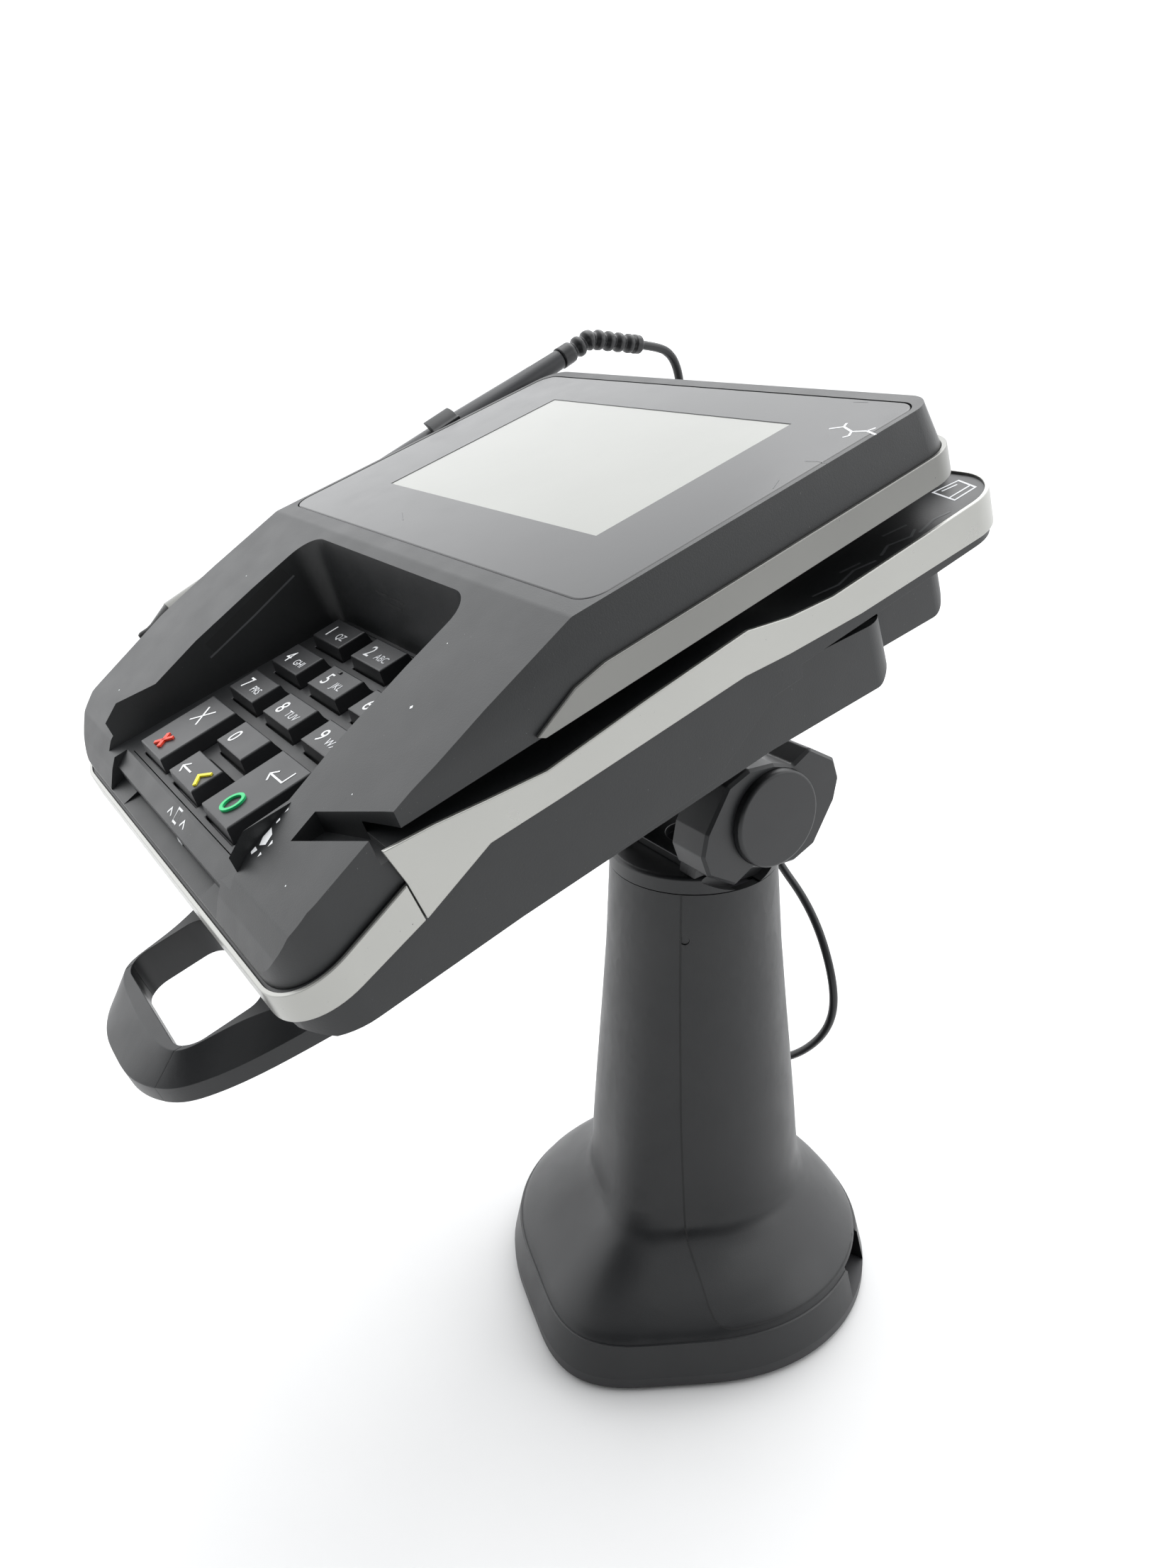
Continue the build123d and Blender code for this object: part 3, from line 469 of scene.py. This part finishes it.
# The side and front trims take the brighter silver copy, as painted highlight.
for node, highlight_finish in {"side_trim": silver_painted_highlight, "front_trim": silver_painted_highlight}.items():
    shaped = bpy.data.objects[node + "_shaped"]
    shaped.data.materials.clear()
    shaped.data.materials.append(highlight_finish)
for node in frame["nodes"]:
    if not frame["nodes"][node].hide_render:
        mesh = frame["nodes"][node].data
        mesh.materials.clear()
        mesh.materials.append(finishes[slot_of[node]])

# ---------------------------------------------------------------- key legends
key_x = [-23.07, 0, 23.07]
key_y = [23.58, 11.64, -0.3, -12.24, -24.18]
key_top = key_height + 0.03
digit_size, letter_size = 5.4, 2.9
print_thickness = 0.04
small_letters = ["QZ", "ABC", "DEF", "GHI", "JKL", "MNO", "PRS", "TUV", "WXY"]
for index, letters in enumerate(small_letters):
    number = str(index + 1)
    x, y = key_x[index % 3], key_y[index // 3]
    body = "key_" + number
    lettering(
        "digit_" + number, number, keypad, (x - 3.4, y - 0.5), digit_size, key_top, print_thickness,
        body, prints_marks_and_highlight["white"],
    )  # fmt: skip
    lettering(
        "letters_" + number, letters, keypad, (x + 3.2, y - 0.9), letter_size, key_top, print_thickness,
        body, prints_marks_and_highlight["grey"],
    )  # fmt: skip
lettering(
    "digit_0", "0", keypad, (-4.0, key_y[3] - 0.7), digit_size, key_top, print_thickness,
    "key_0", prints_marks_and_highlight["white"],
)  # fmt: skip
block(
    "pip_5", keypad, (-2.4, 14.3, key_height), (1.4, 0.9, 0.7), "key_5", finishes["key_grey"], 0.25
)  # fmt: skip


def cross(x, y, half_width, half_depth):
    """The two strokes of an X."""
    return [
        [(x - half_width, y - half_depth), (x + half_width, y + half_depth)],
        [(x - half_width, y + half_depth), (x + half_width, y - half_depth)],
    ]


raised = key_height - 0.1
printed_cross = cross(-23.7, -14, 2.3, 2.7)
ribbon(
    "cancel_print", keypad, printed_cross, 0.5, key_top, print_thickness, "key_cancel", prints_marks_and_highlight["white"]
)  # fmt: skip
raised_cross = cross(-23.1, -24.3, 1.6, 1.9)
ribbon("cancel_raised", keypad, raised_cross, 0.95, raised, 0.6, "key_cancel", prints_marks_and_highlight["red"])
clear_arrow = [[(-5.6, -25.2), (-0.3, -25.2)], [(-3.9, -23.7), (-5.6, -25.2), (-3.9, -26.7)]]
ribbon("clear_print", keypad, clear_arrow, 0.45, key_top, print_thickness, "key_clear", prints_marks_and_highlight["white"])
clear_hook = [[(6.6, -22.4), (3.9, -24.5), (6.6, -26.6)]]
ribbon("clear_raised", keypad, clear_hook, 0.8, raised, 0.5, "key_clear", prints_marks_and_highlight["yellow"])
enter_arrow = [[(27.6, -10.6), (27.6, -14), (21.2, -14)], [(22.9, -12.4), (21.2, -14), (22.9, -15.6)]]
ribbon("enter_print", keypad, enter_arrow, 0.45, key_top, print_thickness, "key_enter", prints_marks_and_highlight["white"])
enter_ring = [arc((23.3, -23.6), (2.1, 2.5), 0, 360, 32)]
ribbon("enter_raised", keypad, enter_ring, 0.75, raised, 0.6, "key_enter", prints_marks_and_highlight["green"])

# ---------------------------------------------------------------- printed signs
down = (0, 0, -1)
bay_card = [
    [(3.2, -91.4), (5.6, -91.4), (5.6, -94.8), (3.2, -94.8), (3.2, -91.4)],
    [(3.2, -93.9), (5.6, -93.9)],
    [(-1.2, -93.6), (0, -92.3), (1.2, -93.6)],
    [(7.6, -93.6), (8.8, -92.3), (10, -93.6)],
]
sign = ribbon("chip_card_sign", glass, bay_card, 0.42, -22, 0, "terminal", prints_marks_and_highlight["white"])
lay(sign, "head_housing", glass, down)
swipe_card = [
    [(62.6, 76.6), (64.2, 83.2), (70.4, 81.4), (70.2, 74.8), (62.6, 76.6)],
    [(68.2, 75.3), (68.6, 81.9)],
    [(64.2, 77.6), (65.3, 81.4)],
]
sign = ribbon("swipe_card_sign", glass, swipe_card, 0.5, -20, 0, "terminal", prints_marks_and_highlight["grey"])
lay(sign, "lower_housing", glass, down)

# ---------------------------------------------------------------- recesses in the keypad well's walls, drawn flat: painted shade in the recess, a painted highlight on its lip
left_wall = glass @ Matrix(((0, 0, 1, 0), (1, 0, 0, 0), (0, 1, 0, 0), (0, 0, 0, 1)))  # x along, y out of the glass
back_wall = glass @ Matrix(((1, 0, 0, 0), (0, 0, -1, 0), (0, 1, 0, 0), (0, 0, 0, 1)))
# The recess is a flat dark band: painted shade where the wall dips in.
recess_shade_line = [[(-62, -14.6), (-49, -10.2), (-37, -6)]]
recess = ribbon("painted_recess_shade", left_wall, recess_shade_line, 3.2, -20, 0, "terminal", gap_and_recess_shade_black)
lay(recess, "head_housing", left_wall, down)
# A pale line along the recess's lower edge: a painted highlight on its lip.
lip_highlight_line = [[(-63, -16.6), (-49, -12.2), (-35.6, -7.6)]]
lip = ribbon("painted_lip_highlight", left_wall, lip_highlight_line, 0.45, -20, 0, "terminal", prints_marks_and_highlight["faint"])
lay(lip, "head_housing", left_wall, down)
back_slots = [[(-10, -9.6), (-3.4, -9.6)], [(-2, -9.8), (5, -9.8)], [(-9, -11.6), (3, -11.7)]]
slots = ribbon("well_back_slots", back_wall, back_slots, 0.7, 45, 0, "terminal", gap_and_recess_shade_black)
lay(slots, "head_housing", back_wall, down)

# ---------------------------------------------------------------- seam round the rear cover
seam_turn = radians(-14)
seam_across = Vector((cos(seam_turn), sin(seam_turn), 0))
seam_back = Vector((-sin(seam_turn), cos(seam_turn), 0))
seam_route = [
    (-13, 141.3), (-16, 69), (-16.6, 36), (-17.4, 21.6), (-17, 19.4), (-15.6, 17.8), (-12.6, 17), (-4, 17),
    (10, 17), (42, 17),
]  # fmt: skip
stand_shape = bmesh.new()
stand_shape.from_mesh(frame["nodes"]["base_shell"].data)
stand_shape.from_mesh(frame["nodes"]["rear_cover"].data)
stand_tree = BVHTree.FromBMesh(stand_shape)
stand_shape.free()
seam_mesh = bpy.data.meshes.new("cover_seam")
seam_shape = bmesh.new()
for way in (1, -1):
    hits = []
    for (y0, z0), (y1, z1) in zip(seam_route, seam_route[1:]):
        for part in range(10):
            share = part / 10
            start = seam_across * way * 90 + seam_back * (y0 + (y1 - y0) * share)
            start.z = z0 + (z1 - z0) * share
            spot, normal, _, _ = stand_tree.ray_cast(start * mm, -seam_across * way)
            if spot is not None:
                hits.append((spot, normal))
    rails = []
    for index, (spot, normal) in enumerate(hits):
        ahead = hits[min(index + 1, len(hits) - 1)][0] - hits[max(index - 1, 0)][0]
        aside = ahead.cross(normal).normalized() * 0.28 * mm
        rails.append([seam_shape.verts.new(spot + normal * 0.05 * mm + aside * turn_way) for turn_way in (-1, 1)])
    for one, two in zip(rails, rails[1:]):
        seam_shape.faces.new((one[0], two[0], two[1], one[1]))
seam_shape.to_mesh(seam_mesh)
seam_shape.free()
show("cover_seam", seam_mesh, "stand", gap_and_recess_shade_black)

# ---------------------------------------------------------------- marks of use
glass_marks = [
    [(59.6, 53.4), (62.4, 54.9), (66.2, 53.2), (69.6, 54.1), (73, 53)],
    [(62.4, 54.9), (61.6, 56.6)],
    [(66.2, 53.2), (67.2, 51.4), (66.4, 50.4)],
    [(69.6, 54.1), (70.4, 55.8)],
]
ribbon("worn_sign", glass, glass_marks, 0.55, 0.03, 0, "terminal", prints_marks_and_highlight["grey"])
scratches = [
    [(67, 39.2), (70, 39.8), (73, 39.5)],
    [(54, 66.4), (58, 66.7)],
    [(-22, -10), (-16.5, -12.6)],
    [(68.2, 31), (70.2, 27.4)],
]
ribbon("glass_scratches", glass, scratches, 0.16, 0.03, 0, "terminal", prints_marks_and_highlight["faint"])
chips = [
    [(46.7, -82.8), (48.6, -83.6), (49.2, -85.6), (47.6, -86.4), (46.6, -85)],
    [(46.8, -87), (48.2, -87.2), (47.6, -88.4), (46.8, -88.2)],
    [(50, -84.2), (50.8, -84.6), (50.3, -85.6)],
    [(46.7, -80.6), (47.3, -80.9), (47.1, -81.8), (46.7, -81.6)],
    [(46.7, -78.4), (47.1, -78.7), (46.8, -79.5)],
    [(49.6, -87), (50.4, -87.2), (49.9, -88)],
]
rim_chips = spots("well_rim_chips", glass, chips, -12, "terminal", prints_marks_and_highlight["white"])
lay(rim_chips, "head_housing", glass, down)
speck_places = [
    (55.4, -51.9, 0.45), (61, -70, 0.18), (-52, -44, 0.2), (48, -38, 0.16), (-60.5, -84, 0.25), (64, -88, 0.2),
]  # fmt: skip
specks = [[(x - size, y), (x, y - size), (x + size, y), (x, y + size)] for x, y, size in speck_places]
lay(spots("crown_specks", glass, specks, 4, "terminal", prints_marks_and_highlight["white"]), "head_housing", glass, down)
streaks = [
    [(71.5, 30), (73, 36), (71.6, 42), (73.2, 47)],
    [(72.6, 49), (70.8, 53), (72.8, 58), (71.2, 61)],
    [(69.4, 40), (70.6, 45)],
    [(73.3, 60), (72, 66), (73, 70)],
    [(66.5, 56), (68, 62)],
]
ledge_marks = ribbon("ledge_streaks", glass, streaks, 0.7, -20, 0, "terminal", prints_marks_and_highlight["faint"])
lay(ledge_marks, "lower_housing", glass, down)

# ---------------------------------------------------------------- floor and light
floor_mesh = bpy.data.meshes.new("counter")
floor_shape = bmesh.new()
bmesh.ops.create_grid(floor_shape, x_segments=1, y_segments=1, size=4)
floor_shape.to_mesh(floor_mesh)
floor_shape.free()
counter = bpy.data.objects.new("counter", floor_mesh)
bpy.context.scene.collection.objects.link(counter)
counter.location.z = -0.0002
floor_mesh.materials.append(material("counter_white", (0.74, 0.74, 0.74), 0.8, tint=0.005))

world = bpy.data.worlds.new("studio")
bpy.context.scene.world = world
world.use_nodes = True
sky, sky_links = world.node_tree.nodes, world.node_tree.links
heading = sky.new("ShaderNodeTexCoord")
facing = sky.new("ShaderNodeVectorMath")
facing.operation = "DOT_PRODUCT"
facing.inputs[1].default_value = (-0.78, 0.58, 0.22)
sky_links.new(heading.outputs["Generated"], facing.inputs[0])
brightness = sky.new("ShaderNodeMapRange")
brightness.inputs["From Min"].default_value = -0.75
brightness.inputs["From Max"].default_value = 0.35
brightness.inputs["To Min"].default_value = 0.04
brightness.inputs["To Max"].default_value = 2.1
sky_links.new(facing.outputs["Value"], brightness.inputs["Value"])
sky["Background"].inputs["Color"].default_value = (0.98, 0.99, 1.0, 1)
sky_links.new(brightness.outputs["Result"], sky["Background"].inputs["Strength"])
bpy.context.scene.view_settings.view_transform = "Standard"


def lamp(name, location, target, size, power):
    """A soft square lamp aimed at a point."""
    data = bpy.data.lights.new(name, "AREA")
    data.energy = power
    data.size = size
    made = bpy.data.objects.new(name, data)
    bpy.context.scene.collection.objects.link(made)
    made.location = location
    made.rotation_euler = (Vector(target) - Vector(location)).to_track_quat("-Z", "Y").to_euler()
    return made


lamp("overhead", (-0.3, 0.5, 1.4), (0, 0, 0.2), 1.2, 10)
lamp("side", (1.1, 0.9, 0.8), (0, 0, 0.2), 0.8, 3)
